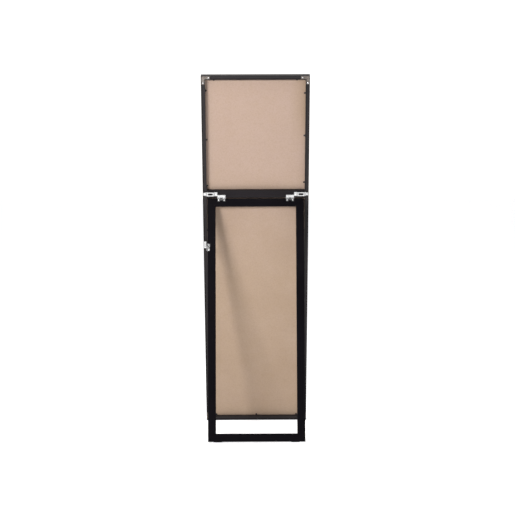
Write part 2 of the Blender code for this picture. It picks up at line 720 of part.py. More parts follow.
def make_stay(frame_axes, stand_axes, material, rivet_material, screw_material):
    """The folding stay on the right: two brackets and two links, straight when open."""
    height = HINGE_HEIGHT - STAY_DISTANCE
    layers = [STAY_EAR_X - step * STAY_LAYER for step in range(4)]
    frame_ear, upper_x, lower_x, leg_ear = layers
    stay_bracket("stay_frame_bracket", (frame_ear, frame_ear + STAY_FRAME_PLATE), frame_ear, 0.0,
                 height, stay_frame_screw_places(), frame_axes, material)
    leg_edge = leg_ear + STAY_SHEET
    stay_bracket("stay_leg_bracket", (leg_edge - STAY_LEG_PLATE, leg_edge), leg_ear, -HINGE_BEHIND,
                 -STAY_DISTANCE, stay_leg_screw_places(), stand_axes, material)
    pivot = make_empty("stay_pivot", frame_axes, (0.0, STAY_PIVOT_BEHIND, height), STAY_SWING)
    elbow = make_empty("stay_elbow", pivot, (0.0, 0.0, -STAY_LINK), -pi)
    stay_link("stay_frame_link", -STAY_LINK, upper_x, pivot, material)
    stay_link("stay_leg_link", STAY_LINK, lower_x, elbow, material)
    stay_rivet("stay_frame_rivet", upper_x, frame_ear + STAY_SHEET, ("high",), STAY_PIVOT_BEHIND,
               height, frame_axes, rivet_material)
    stay_rivet("stay_elbow_rivet", lower_x, upper_x + STAY_SHEET, ("low", "high"), 0.0,
               -STAY_LINK, pivot, rivet_material)
    stay_rivet("stay_leg_rivet", leg_ear, leg_edge, ("low",), STAY_PIVOT_BEHIND - HINGE_BEHIND,
               -STAY_DISTANCE, stand_axes, rivet_material)
    seat = GAP + STAY_SHEET
    make_screws("stay_frame_screw", stay_frame_screw_places(), seat, STAY_FRAME_SCREW,
                frame_axes, screw_material)
    make_screws("stay_leg_screw", stay_leg_screw_places(), seat - HINGE_BEHIND, STAY_LEG_SCREW,
                stand_axes, screw_material)


def make_foot_pads(frame_axes, stand_axes, material):
    """Rubber pads under the frame's bottom rail and under the stand's bottom tube."""
    feet = (
        ("frame_foot_pad", FRAME_PAD_X, -FRAME_PAD_FRONT, -FRAME_PAD_BACK, 0.0, frame_axes),
        ("stand_foot_pad", STAND_PAD_X, -HINGE_BEHIND - STAND_PAD_FRONT,
         -HINGE_BEHIND - STAND_PAD_BACK, -STAND_LENGTH, stand_axes),
    )
    for name, across, front, back, sole, parent in feet:
        for side, word in ((-1, "left"), (1, "right")):
            bm = bmesh.new()
            low = (side * across - PAD_LENGTH / 2, front, sole - PAD_BOTTOM)
            high = (side * across + PAD_LENGTH / 2, back, sole - GAP)
            add_box(bm, low, high)
            make_object(f"{name}_{word}", finish_mesh(name, bm), material, parent)


def main():
    clear_scene()
    made = {name: make_material(name, *looks) for name, looks in FINISHES.items()}
    black = made["frame_black"]
    steel = made["zinc_steel"]
    screw_steel = made["screw_steel"]
    pack = {
        "mirror_glass": made["mirror_glass"],
        "safety_film": made["safety_film"],
        "foam_sheet": made["foam_white"],
        "back_panel": made["back_board"],
    }
    foot_place = (0.0, -(FRONT_Y + BACK_Y) / 2, -FRAME_FOOT_LOW)
    frame_axes = make_empty("frame_axes", None, foot_place, -LEAN)
    hinge_place = (0.0, HINGE_BEHIND, HINGE_HEIGHT)
    hinge_axes = make_empty("hinge_axes", frame_axes, hinge_place)
    stand_axes = make_empty("stand_axes", frame_axes, hinge_place, OPENING)
    rails = make_frame(frame_axes, black)
    make_glass_pack(frame_axes, pack)
    make_corner_brackets(frame_axes, made["bracket_steel"], screw_steel)
    bar = make_crossbar(frame_axes, black)
    bar_places = make_hangers(frame_axes, rails, steel, screw_steel)
    tubes = make_stand(stand_axes, made["stand_black"])
    hinge_places, stand_places = make_hinges(hinge_axes, stand_axes, steel, screw_steel)
    bar_places += [(x, z + HINGE_HEIGHT) for x, z in hinge_places]
    drill_tube(bar, "crossbar_holes", bar_places, 0.0, frame_axes)
    drill_tube(tubes[3], "stand_top_holes", stand_places, -HINGE_BEHIND, stand_axes)
    drill_tube(tubes[1], "stand_leg_holes", stay_leg_screw_places(), -HINGE_BEHIND, stand_axes)
    make_stay(frame_axes, stand_axes, steel, screw_steel, screw_steel)
    make_foot_pads(frame_axes, stand_axes, made["rubber_black"])


main()
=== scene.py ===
"""Looks for a full-length mirror on an easel stand: materials, small parts, light and camera.

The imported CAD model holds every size. Everything here is in metres in the same frame: the glass
faces -Y, the stand opens towards +Y, and +Z is up. In the axes of the mirror and of the stand,
X stays across, Y points out of the back and Z runs up along the part.
"""

import json
from math import cos, pi, radians, sin

import bmesh
import bpy
from mathutils import Matrix, Vector

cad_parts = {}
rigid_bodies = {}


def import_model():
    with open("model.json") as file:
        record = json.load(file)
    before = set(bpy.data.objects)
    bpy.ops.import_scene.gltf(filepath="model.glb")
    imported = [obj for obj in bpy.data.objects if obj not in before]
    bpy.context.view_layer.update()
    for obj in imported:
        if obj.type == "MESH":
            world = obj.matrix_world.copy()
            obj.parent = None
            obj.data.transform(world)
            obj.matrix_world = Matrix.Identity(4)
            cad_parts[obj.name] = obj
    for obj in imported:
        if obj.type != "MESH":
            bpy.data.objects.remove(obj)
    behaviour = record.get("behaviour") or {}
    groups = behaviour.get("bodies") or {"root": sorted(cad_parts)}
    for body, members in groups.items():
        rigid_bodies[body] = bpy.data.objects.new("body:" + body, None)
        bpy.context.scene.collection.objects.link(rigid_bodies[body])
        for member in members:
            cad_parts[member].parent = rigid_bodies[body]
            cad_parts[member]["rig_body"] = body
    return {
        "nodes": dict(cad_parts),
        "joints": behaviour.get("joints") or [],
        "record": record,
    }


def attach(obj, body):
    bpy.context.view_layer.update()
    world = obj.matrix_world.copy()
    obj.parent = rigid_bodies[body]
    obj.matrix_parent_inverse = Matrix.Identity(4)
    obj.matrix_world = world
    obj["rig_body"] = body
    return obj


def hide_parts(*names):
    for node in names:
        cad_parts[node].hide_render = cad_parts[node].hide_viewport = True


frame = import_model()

ACROSS = Vector((1, 0, 0))

# Steel clips that hold the back panel in the frame, in the mirror's own axes.
CLIP_WIDTH = 0.0080
CLIP_TAPER = 0.0016
CLIP_REACH = 0.0060
CLIP_SHEET = 0.0009
CLIP_LIP = 0.0016
CLIP_LIFT = 0.0002
CLIP_ROUNDING = 0.00012
# The tongue's thickness at its tip, where it starts to thin, and the bend at its root.
CLIP_TIP = CLIP_SHEET * 0.6
CLIP_THINS = CLIP_REACH * 0.82
CLIP_BEND = CLIP_SHEET * 1.4
LEFT_CLIPS = (0.080, 0.260, 0.440, 0.620, 0.800, 0.990, 1.171, 1.332)
RIGHT_CLIPS = (0.080, 0.260, 0.440, 0.620, 0.800, 0.978, 1.156, 1.342)
TOP_CLIPS = (-0.153, 0.153)
BOTTOM_CLIPS = (-0.160, 0.0, 0.160)

# Pan-head screws: counts, angles and lengths in metres.
SCREW_SIDES = 28
SCREW_TURN = radians(37.0)
HEAD_STEPS = 6
HEAD_SMOOTH = 50.0
HEAD_HEIGHT = 0.0014
THREAD_PITCH = 0.0009
THREAD_START = 0.0004
THREAD_RUNOUT = 0.0006
SHANK_NECK = 0.0001
SHANK_LEAST = 0.0003

# Their shape, as fractions of the head's radius or height, of the shank's radius or the pitch.
HEAD_SEAT = 0.94
HEAD_TOP = 0.40
HEAD_FLAT = 0.42
HEAD_RIM = 0.18
HEAD_CURVE = 0.8
RECESS_REACH = 0.62
RECESS_WIDTH = 0.20
RECESS_DEPTH = 0.75
RECESS_ABOVE = 0.3
RECESS_MOUTH = 1.15
RECESS_FOOT = 0.45
THREAD_CREST = 0.45
THREAD_ROOT = 0.8
SHANK_POINT = 0.5

# Moulded rubber feet.
GROOVES = 6
GROOVE_WIDTH = 0.0009
GROOVE_DEPTH = 0.0004
PAD_ROUNDING = 0.00014

# Mesh finishing, with angles in degrees.
SMOOTH_BELOW = 35.0
BEVEL_ABOVE = 30.0
BEVEL_STEPS = 2
WELD = 1e-6

# Linear colours of the materials, dark and light.
FRAME_TONES = (0.0130, 0.0108, 0.0118), (0.0190, 0.0160, 0.0174)
STAND_TONES = (0.0024, 0.0019, 0.0030), (0.0040, 0.0033, 0.0048)
# The crossbar: a darker copy of the frame's black, painted shade.
SHADED_CROSSBAR_TONES = (0.0070, 0.0054, 0.0066), (0.0104, 0.0082, 0.0098)
ZINC_TONES = (0.36, 0.36, 0.365), (0.54, 0.54, 0.54)
# The stand's hinge leaves: a darker copy of the zinc, painted shade.
SHADED_LEAF_TONES = (0.095, 0.095, 0.100), (0.165, 0.165, 0.165)
BRACKET_TONES = (0.11, 0.094, 0.083), (0.22, 0.195, 0.178)
SCREW_TONES = (0.66, 0.66, 0.68), (0.90, 0.90, 0.91)
RUBBER_TONES = (0.012, 0.012, 0.0125), (0.024, 0.024, 0.025)
FILM_TONES = (0.48, 0.51, 0.53), (0.60, 0.63, 0.65)
FOAM_TONES = (0.74, 0.74, 0.72), (0.88, 0.88, 0.86)
SILVER_TONES = (0.845, 0.865, 0.862), (0.872, 0.888, 0.886)
FLOOR_TONES = (0.93, 0.93, 0.93), (0.96, 0.96, 0.955)
BOARD_WARM = (0.315, 0.226, 0.155)
BOARD_PALE = (0.372, 0.277, 0.208)
# The pink of the patches, and of the painted light towards the top.
BOARD_PINK = (0.355, 0.263, 0.228)
BOARD_TAN = (0.285, 0.205, 0.140)
BOARD_DARK = (0.215, 0.146, 0.098)
BOARD_FLECK = (0.110, 0.068, 0.042)

# Features of the textures to the metre (along X, Y and Z where there are three), and depths
# of bumps and widths of worn edges in metres.
COAT_PEEL = 1500.0
COAT_PEEL_DEPTH = 0.00006
COAT_CLOUDS = 9.0
COAT_SPECKS = 420.0
COAT_WEAR = 60.0
COAT_WORN_EDGE = 0.0007
COAT_SHEEN = 140.0
ZINC_GRAINS = 430.0
ZINC_LINES = (90.0, 2400.0, 2400.0)
ZINC_CLOUDS = 110.0
ZINC_CLOUD_DEPTH = 0.00004
ZINC_DULL_EDGE = 0.0004
BOARD_CLOUDS = 5.5
BOARD_PATCHES = 38.0
BOARD_PATCH_DEPTH = 0.00025
BOARD_MOTTLE = 190.0
BOARD_FIBRES = (520.0, 520.0, 210.0)
BOARD_CROSSED = (170.0, 600.0, 640.0)
BOARD_TANGLE_DEPTH = 0.00016
BOARD_FLECKS = 330.0
BOARD_FLECK_GROUPS = 75.0
SILVER_WIPES = (14.0, 14.0, 3.0)
SILVER_DUST = 95.0
MOULDED_CLOUDS = 24.0
FLOOR_PATCHES = 2.0
FLOOR_SHEEN = 30.0

# How alike the rounded and the true normal are on a flat face, and at a worn edge.
EDGE_ALIKE = 0.995, 0.80

# Where painted light makes the back panel lighter and pinker with height, and where it turns
# browner near its upper left edge.
PAINTED_LIGHT_RISE = 0.60, 1.05
TAN_ACROSS = -0.125, -0.185
TAN_RISE = 1.08, 1.22

# Camera behind the mirror, looking slightly down.
CAMERA_AT = Vector((0.0142, 4.9228, 1.1748))
CAMERA_YAW = radians(-0.237)
CAMERA_PITCH = radians(5.799)
CAMERA_ROLL = radians(-0.198)
LENS = 90.15
SENSOR = 36.0

# Floor and soft surroundings. The light changes between two parts of a direction of length 1.
FLOOR_HALF = 16.0
FLOOR_DROP = 0.0002
FLOOR_GLOW = 0.59
FLOOR_GLOW_COLOUR = (0.962, 0.975, 1.0, 1.0)
WORLD_COLOUR = (1.0, 0.985, 0.965, 1.0)
WORLD_LEVEL = 1.20
WORLD_TOP = 0.50
WORLD_TOP_FROM = 0.12, 0.60
WORLD_BEHIND = 0.22
WORLD_BEHIND_FROM = -0.20, 0.70

# Lamps: two key lamps side by side and a wide one overhead.
KEY_AT = Vector((1.40, 2.62, 1.66))
KEY_SIZE = 0.50
KEY_POWER = 49.0
SIDE_AT = Vector((1.92, 2.62, 1.66))
SIDE_SIZE = 0.60
SIDE_POWER = 40.0
KEY_AIM = Vector((0.0, 0.0, 0.66))
KEY_COLOUR = (1.0, 0.995, 0.985)
TOP_AT = Vector((0.2, 0.6, 3.3))
TOP_SIZE = 2.4
TOP_POWER = 48.0
TOP_AIM = Vector((0.0, 0.0, 0.4))
TOP_COLOUR = (1.0, 1.0, 1.0)


def make_axes(first, second, third, origin):
    """A matrix from three directions and an origin."""
    axes = Matrix((first, second, third)).transposed().to_4x4()
    axes.translation = origin
    return axes


def mount_axis(name):
    """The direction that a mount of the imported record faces."""
    mounts = frame["record"]["mounts"]
    return Vector(next(m["axis"] for m in mounts if m["name"] == name)).normalized()


def local_points(node, axes):
    """The corners of a CAD node in local axes."""
    inverse = axes.inverted()
    return [inverse @ v.co for v in frame["nodes"][node].data.vertices]


def local_box(node, axes):
    """The lowest and highest corner of a CAD node in local axes."""
    points = local_points(node, axes)
    low = Vector([min(p[i] for p in points) for i in range(3)])
    high = Vector([max(p[i] for p in points) for i in range(3)])
    return low, high


def mirror_axes():
    """Axes of the leaning mirror: its back plane, and its lower edge in the middle."""
    back = mount_axis("wall_hang_left")
    up = ACROSS.cross(back)
    leaning = make_axes(ACROSS, back, up, Vector())
    low, high = local_box("frame_rail_bottom", leaning)
    return make_axes(ACROSS, back, up, leaning @ Vector((0, high.y, low.z)))


def stand_axes():
    """Axes of the open stand: its back face and its length, with the hinge as the origin."""
    up = -mount_axis("stand_foot_left")
    back = up.cross(ACROSS)
    fold = next(j for j in frame["joints"] if j["name"] == "stand_fold")
    return make_axes(ACROSS, back, up, Vector(fold["pos_m"]))


# ---------------------------------------------------------------- materials


def scaled(colour, factor):
    """A lighter or darker version of a colour."""
    return tuple(factor * c for c in colour)


class Surface:
    """A node material on one shader, with textures placed in the object's own metres."""

    def __init__(self, name, **shader_values):
        self.material = bpy.data.materials.new(name)
        self.material.use_nodes = True
        self.tree = self.material.node_tree
        self.shader = self.tree.nodes["Principled BSDF"]
        self.place = self.add("ShaderNodeTexCoord").outputs["Object"]
        for socket, value in shader_values.items():
            self.shader.inputs[socket.replace("_", " ")].default_value = value

    def add(self, kind, links=(), **settings):
        """A new node with its settings, and its inputs linked to outputs or set to values."""
        node = self.tree.nodes.new(kind)
        for key, value in settings.items():
            setattr(node, key, value)
        for socket, source in dict(links).items():
            self.join(source, node.inputs[socket])
        return node

    def join(self, source, socket):
        """Link an output to an input, or set the input to a value."""
        if isinstance(source, bpy.types.NodeSocket):
            self.tree.links.new(source, socket)
        else:
            socket.default_value = source

    def stretched(self, across, back, up):
        """The object's metres, scaled along each axis."""
        links = {"Vector": self.place, "Scale": (across, back, up)}
        return self.add("ShaderNodeMapping", links).outputs["Vector"]

    def noise(self, per_metre, detail=3.0, rough=0.55, place=None, twist=0.0):
        """Smooth random values, with so many blobs to the metre."""
        links = {"Vector": place or self.place, "Scale": per_metre, "Detail": detail,
                 "Roughness": rough, "Distortion": twist}
        return self.add("ShaderNodeTexNoise", links).outputs["Fac"]

    def cells(self, per_metre, output="Distance"):
        """Distance or colour of scattered cells, with so many to the metre."""
        links = {"Vector": self.place, "Scale": per_metre}
        return self.add("ShaderNodeTexVoronoi", links).outputs[output]

    def dots(self, per_metre, inner, outer):
        """1 at the centre of scattered cells, fading to 0 between two distances."""
        return self.spread(self.cells(per_metre), inner, outer, 1.0, 0.0)

    def spread(self, value, low, high, to_low=0.0, to_high=1.0):
        """Map a value from one range to another, held at the ends."""
        links = {"Value": value, "From Min": low, "From Max": high,
                 "To Min": to_low, "To Max": to_high}
        return self.add("ShaderNodeMapRange", links).outputs["Result"]

    def math(self, operation, first, second):
        """Two values put together by one operation."""
        return self.add("ShaderNodeMath", {0: first, 1: second}, operation=operation).outputs[0]

    def times(self, first, second):
        """The product of two values."""
        return self.math("MULTIPLY", first, second)

    def mixed(self, first, share, second, other_share):
        """The sum of two values, each with its share."""
        return self.math("ADD", self.times(first, share), self.times(second, other_share))

    def blend(self, amount, first, second):
        """Two colours or colour outputs mixed by an amount."""
        node = self.add("ShaderNodeMix", data_type="RGBA")
        self.join(amount, node.inputs[0])
        for source, socket in ((first, node.inputs[6]), (second, node.inputs[7])):
            if not isinstance(source, bpy.types.NodeSocket):
                source = (*source, 1.0)
            self.join(source, socket)
        return node.outputs[2]

    def edges(self, radius):
        """1 along the sharp edges of the object and 0 on its flat faces."""
        rounded = self.add("ShaderNodeBevel", {"Radius": radius}, samples=6).outputs["Normal"]
        flat = self.add("ShaderNodeNewGeometry").outputs["True Normal"]
        dot = self.add("ShaderNodeVectorMath", {0: rounded, 1: flat}, operation="DOT_PRODUCT")
        return self.spread(dot.outputs["Value"], *EDGE_ALIKE)

    def finish(self, colour, roughness, bumps=()):
        """Join colour, roughness and (height, depth in metres) bumps to the shader."""
        self.join(colour, self.shader.inputs["Base Color"])
        self.join(roughness, self.shader.inputs["Roughness"])
        normal = None
        for height, depth in bumps:
            links = {"Height": height, "Distance": depth, "Strength": 1.0}
            node = self.add("ShaderNodeBump", links)
            if normal is not None:
                self.join(normal, node.inputs["Normal"])
            normal = node.outputs["Normal"]
        if normal is not None:
            self.join(normal, self.shader.inputs["Normal"])
        return self.material


def powder_coat(name, tones, specular):
    """Baked powder paint on steel: fine orange peel, cloudy tone, thin worn edges."""
    s = Surface(name, Specular_IOR_Level=specular)
    dark, light = tones
    peel = s.noise(COAT_PEEL, detail=2.0, rough=0.5)
    clouds = s.noise(COAT_CLOUDS, detail=4.0, rough=0.6)
    tone = s.blend(s.spread(clouds, 0.32, 0.68), dark, light)
    specks = s.dots(COAT_SPECKS, 0.05, 0.12)
    tone = s.blend(s.times(specks, 0.25), tone, scaled(light, 2.2))
    patchy = s.spread(s.noise(COAT_WEAR), 0.35, 0.75, 0.05, 0.55)
    worn = s.times(s.edges(COAT_WORN_EDGE), patchy)
    tone = s.blend(worn, tone, scaled(light, 2.6))
    rough = s.spread(s.noise(COAT_SHEEN, detail=4.0), 0.3, 0.7, 0.45, 0.57)
    return s.finish(tone, rough, [(peel, COAT_PEEL_DEPTH)])


def zinc_plate(name, tones, roughness, marks):
    """Zinc-plated sheet: cloudy grains of zinc, drawn lines along the strip, dull edges."""
    s = Surface(name, Metallic=1.0)
    dark, light = tones
    grains = s.cells(ZINC_GRAINS, "Color")
    grain = s.add("ShaderNodeSeparateColor", {"Color": grains}).outputs[0]
    lines = s.noise(1.0, detail=2.0, rough=0.5, place=s.stretched(*ZINC_LINES))
    clouds = s.noise(ZINC_CLOUDS, rough=0.6)
    tone = s.blend(s.spread(s.mixed(grain, 0.45, clouds, 0.55), 0.25, 0.75), dark, light)
    tone = s.blend(s.times(s.edges(ZINC_DULL_EDGE), 0.35), tone, scaled(dark, 0.55))
    drawn = s.mixed(lines, 0.6, grain, 0.4)
    varied = s.spread(drawn, 0.2, 0.8, roughness - 0.09, roughness + 0.13)
    return s.finish(tone, varied, [(lines, marks), (clouds, ZINC_CLOUD_DEPTH)])


def fibreboard(name):
    """Raw fibreboard: matted fibres, darker flecks and broad pale, pink and tan patches, and
    painted light that turns it lighter and pinker towards the top.
    """
    s = Surface(name, Specular_IOR_Level=0.18)
    clouds = s.noise(BOARD_CLOUDS, detail=5.0, rough=0.62, twist=0.6)
    patches = s.noise(BOARD_PATCHES, detail=4.0, rough=0.7)
    tone = s.blend(s.spread(clouds, 0.20, 0.80), BOARD_WARM, BOARD_PALE)

    parts = s.add("ShaderNodeSeparateXYZ", {0: s.place}).outputs
    # Painted light: lighter and pinker with height, mixed with random pink patches.
    rise = s.spread(parts["Z"], *PAINTED_LIGHT_RISE, 0.04, 0.60)
    rise = s.math("ADD", rise, s.spread(patches, 0.3, 0.7, -0.12, 0.12))
    tone = s.blend(rise, tone, BOARD_PINK)
    # Browner and darker near the upper edge at -X.
    browner_corner = s.times(s.spread(parts["X"], *TAN_ACROSS), s.spread(parts["Z"], *TAN_RISE))
    tone = s.blend(s.times(browner_corner, s.spread(clouds, 0.25, 0.65, 0.6, 0.95)), tone, BOARD_TAN)

    mottle = s.noise(BOARD_MOTTLE, detail=2.0, rough=0.65)
    tone = s.blend(s.spread(mottle, 0.42, 0.72, 0.0, 0.26), tone, BOARD_DARK)
    fibres = s.noise(1.0, 5.0, 0.72, s.stretched(*BOARD_FIBRES), twist=1.4)
    crossed = s.noise(1.0, 4.0, 0.7, s.stretched(*BOARD_CROSSED), twist=1.1)
    tangle = s.times(s.spread(fibres, 0.36, 0.70), s.spread(crossed, 0.34, 0.70))
    tone = s.blend(s.times(tangle, 0.34), tone, BOARD_DARK)
    sparse = s.spread(s.noise(BOARD_FLECK_GROUPS, detail=2.0), 0.52, 0.62)
    flecks = s.times(s.dots(BOARD_FLECKS, 0.03, 0.10), s.times(sparse, 0.55))
    tone = s.blend(flecks, tone, BOARD_FLECK)
    rough = s.spread(fibres, 0.2, 0.8, 0.78, 0.92)
    bumps = [(patches, BOARD_PATCH_DEPTH), (tangle, BOARD_TANGLE_DEPTH)]
    return s.finish(tone, rough, bumps)


def mirror_silver(name):
    """Silvered glass seen from the front: a clean mirror with the faintest wiped film."""
    s = Surface(name, Metallic=1.0)
    wiped = s.noise(1.0, 4.0, 0.6, s.stretched(*SILVER_WIPES), twist=1.5)
    tone = s.blend(s.spread(wiped, 0.3, 0.7), *SILVER_TONES)
    dust = s.times(s.dots(SILVER_DUST, 0.02, 0.05), 0.02)
    film = s.math("ADD", s.spread(wiped, 0.45, 0.80, 0.012, 0.034), dust)
    return s.finish(tone, film)


def soft_plastic(name, tones, grain, depth, roughness):
    """Foam, film and rubber: a fine cell or moulded grain over a slightly uneven tone."""
    s = Surface(name, Specular_IOR_Level=0.3)
    cells = s.cells(grain)
    clouds = s.noise(MOULDED_CLOUDS)
    tone = s.blend(s.spread(s.mixed(cells, 0.5, clouds, 0.6), 0.2, 0.8), *tones)
    varied = s.spread(clouds, 0.3, 0.7, roughness, roughness + 0.15)
    return s.finish(tone, varied, [(cells, depth)])


def plain_name(material):
    """A material's name without the number that Blender adds when the name is taken."""
    return material.name.split(".")[0]


def make_materials():
    """One material for each slot of the record, and two darker copies for nodes that differ from
    their slot: painted shade on the crossbar and the stand's hinge leaves.
    """
    made = [
        powder_coat("frame_black", FRAME_TONES, specular=0.20),
        powder_coat("stand_black", STAND_TONES, specular=0.03),
        # A darker black for the crossbar: painted shade.
        powder_coat("shaded_crossbar_black", SHADED_CROSSBAR_TONES, specular=0.10),
        zinc_plate("zinc_steel", ZINC_TONES, roughness=0.24, marks=0.00002),
        # A darker zinc for the stand's hinge leaves: painted shade.
        zinc_plate("shaded_leaf_steel", SHADED_LEAF_TONES, roughness=0.34, marks=0.00002),
        zinc_plate("bracket_steel", BRACKET_TONES, roughness=0.42, marks=0.00004),
        zinc_plate("screw_steel", SCREW_TONES, roughness=0.26, marks=0.00002),
        soft_plastic("rubber_black", RUBBER_TONES, grain=2600.0, depth=0.00004, roughness=0.62),
        soft_plastic("safety_film", FILM_TONES, grain=700.0, depth=0.00001, roughness=0.28),
        soft_plastic("foam_white", FOAM_TONES, grain=900.0, depth=0.00012, roughness=0.70),
        mirror_silver("mirror_glass"),
        fibreboard("back_board"),
    ]
    return {plain_name(material): material for material in made}


def paint_cad(materials):
    """Give every CAD node the material of its slot, or a darker copy of it that paints shade."""
    for node in frame["nodes"].values():
        for material_slot in node.material_slots:
            material_slot.material = materials[plain_name(material_slot.material)]
    # The crossbar gets the darker black, painted shade.
    frame["nodes"]["crossbar"].material_slots[0].material = materials["shaded_crossbar_black"]
    # The stand's hinge leaves get the darker zinc, painted shade.
    for side in ("left", "right"):
        leaf = frame["nodes"][f"hinge_stand_leaf_{side}"]
        leaf.material_slots[0].material = materials["shaded_leaf_steel"]


# ---------------------------------------------------------------- small parts


def make_piece(name, mesh, place, material, body):
    """A visible piece at a place in the shared frame, riding on a CAD body."""
    piece = bpy.data.objects.new(name, mesh)
    bpy.context.scene.collection.objects.link(piece)
    piece.matrix_world = place
    if not mesh.materials:
        mesh.materials.append(material)
    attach(piece, body)
    return piece


def finish_mesh(name, bm, smooth_below=SMOOTH_BELOW):
    """A mesh from bmesh with outward faces, smooth where it turns by less than the angle."""
    bmesh.ops.remove_doubles(bm, verts=bm.verts, dist=WELD)
    bmesh.ops.recalc_face_normals(bm, faces=bm.faces)
    for edge in bm.edges:
        if len(edge.link_faces) == 2:
            edge.smooth = edge.calc_face_angle() < radians(smooth_below)
    for face in bm.faces:
        face.smooth = True
    mesh = bpy.data.meshes.new(name)
    bm.to_mesh(mesh)
    bm.free()
    return mesh


def round_edges(bm, width):
    """Round every sharp edge of a closed bmesh."""
    limit = radians(BEVEL_ABOVE)
    sharp = [e for e in bm.edges if len(e.link_faces) == 2 and e.calc_face_angle() > limit]
    bmesh.ops.bevel(bm, geom=sharp, offset=width, segments=BEVEL_STEPS, profile=0.5,
                    affect="EDGES")


def close_band(bm, first, last):
    """Faces between two rings of as many vertices, and one across each ring."""
    count = len(first)
    bm.faces.new(first)
    bm.faces.new(list(reversed(last)))
    for i in range(count):
        j = (i + 1) % count
        bm.faces.new((first[i], last[i], last[j], first[j]))
    bmesh.ops.recalc_face_normals(bm, faces=bm.faces)


def extruded(outline, half_width):
    """A closed bmesh from (y, z) points, as wide along X at each point as half_width says."""
    bm = bmesh.new()
    low = [bm.verts.new((-half_width(p), *p)) for p in outline]
    high = [bm.verts.new((half_width(p), *p)) for p in outline]
    close_band(bm, low, high)
    return bm


def clip_mesh():
    """A sheet clip: a tongue that reaches +Z over the panel, and a lip bent back at the rail."""
    outline = [
        (0.0, 0.0), (0.0, CLIP_REACH), (CLIP_TIP, CLIP_REACH), (CLIP_SHEET, CLIP_THINS),
        (CLIP_SHEET, CLIP_BEND), (CLIP_BEND, CLIP_SHEET), (CLIP_LIP, CLIP_SHEET), (CLIP_LIP, 0.0),
    ]
    bm = extruded(outline, lambda p: CLIP_WIDTH / 2 - CLIP_TAPER * p[1] / CLIP_REACH)
    round_edges(bm, CLIP_ROUNDING)
    return finish_mesh("panel_clip", bm)


def make_clips(mirror, material):
    """Clips along all four rails, seated on the back of the panel."""
    panel_back = local_box("back_panel", mirror)[1].y + CLIP_LIFT
    left_edge = local_box("frame_rail_left", mirror)[1].x
    right_edge = local_box("frame_rail_right", mirror)[0].x
    top_edge = local_box("frame_rail_top", mirror)[0].z
    bottom_edge = local_box("frame_rail_bottom", mirror)[1].z
    spots = [(left_edge, z, pi / 2) for z in LEFT_CLIPS]
    spots += [(right_edge, z, -pi / 2) for z in RIGHT_CLIPS]
    spots += [(x, top_edge, pi) for x in TOP_CLIPS]
    spots += [(x, bottom_edge, 0.0) for x in BOTTOM_CLIPS]
    mesh = clip_mesh()
    for number, (x, z, turn) in enumerate(spots, start=1):
        place = mirror @ Matrix.Translation((x, panel_back, z)) @ Matrix.Rotation(turn, 4, "Y")
        make_piece(f"panel_clip_{number:02d}", mesh, place, material, "frame")


def turned(profile, sides):
    """A closed bmesh around the Y axis from (radius, y) points."""
    bm = bmesh.new()
    angles = [2 * pi * i / sides for i in range(sides)]
    rings = []
    for radius, y in profile:
        rings.append([bm.verts.new((radius * cos(a), y, radius * sin(a))) for a in angles])
    for lower, upper in zip(rings, rings[1:]):
        for i in range(sides):
            j = (i + 1) % sides
            bm.faces.new((lower[i], lower[j], upper[j], upper[i]))
    bm.faces.new(rings[0])
    bm.faces.new(list(reversed(rings[-1])))
    bmesh.ops.recalc_face_normals(bm, faces=bm.faces)
    return bm


def recess_mesh(radius, depth):
    """The cross-shaped driver recess as a solid that narrows downwards from y = 0."""
    bm = bmesh.new()
    reach = radius * RECESS_REACH
    half = radius * RECESS_WIDTH / 2
    plan = []
    for quarter in range(4):
        turn = Matrix.Rotation(quarter * pi / 2, 2)
        plan += [turn @ Vector(point) for point in ((reach, -half), (reach, half), (half, half))]
    above = depth * RECESS_ABOVE
    top = [bm.verts.new((p.x * RECESS_MOUTH, above, p.y * RECESS_MOUTH)) for p in plan]
    low = [bm.verts.new((p.x * RECESS_FOOT, -depth, p.y * RECESS_FOOT)) for p in plan]
    close_band(bm, top, low)
    return finish_mesh("recess", bm)


def screw_profile(radius, head, shank_radius, length):
    """Points (radius, y) from the screw's tip over its threads and neck to the top of its head."""
    root = shank_radius * THREAD_ROOT
    profile = [(shank_radius * SHANK_POINT, -length)]
    for i in range(max(1, int((length - THREAD_RUNOUT) / THREAD_PITCH))):
        y = -length + THREAD_START + i * THREAD_PITCH
        profile += [(root, y), (shank_radius, y + THREAD_PITCH * THREAD_CREST)]
    profile += [(root, -SHANK_NECK), (root, 0.0), (radius * HEAD_SEAT, 0.0)]
    for step in range(HEAD_STEPS):
        angle = pi / 2 * (step + 1) / (HEAD_STEPS + 1)
        across = HEAD_FLAT + (1 - HEAD_FLAT) * cos(angle) ** HEAD_CURVE
        rise = HEAD_RIM + (1 - HEAD_RIM) * sin(angle)
        profile.append((radius * across, head * rise))
    return profile + [(radius * HEAD_TOP, head)]


def screw_mesh(radius, head, shank_radius, length):
    """A pan-head screw along Y: the head's underside is at y = 0 and the shank points to -Y."""
    solid = turned(screw_profile(radius, head, shank_radius, length), SCREW_SIDES)
    body = bpy.data.objects.new("screw", finish_mesh("screw", solid, HEAD_SMOOTH))
    cutter = bpy.data.objects.new("cutter", recess_mesh(radius, head * RECESS_DEPTH))
    cutter.location.y = head
    for item in (body, cutter):
        bpy.context.scene.collection.objects.link(item)
    modifier = body.modifiers.new("recess", "BOOLEAN")
    modifier.object = cutter
    modifier.solver = "EXACT"
    bpy.context.view_layer.update()
    depsgraph = bpy.context.evaluated_depsgraph_get()
    mesh = bpy.data.meshes.new_from_object(body.evaluated_get(depsgraph))
    for item in (body, cutter):
        bpy.data.objects.remove(item)
    return mesh


def shank_radius_of(node, axes, centre):
    """The smallest distance of a CAD screw's corners from its own axis along Y."""
    points = [p - centre for p in local_points(node, axes)]
    radii = [(p.x ** 2 + p.z ** 2) ** 0.5 for p in points]
    return min(r for r in radii if r > SHANK_LEAST)


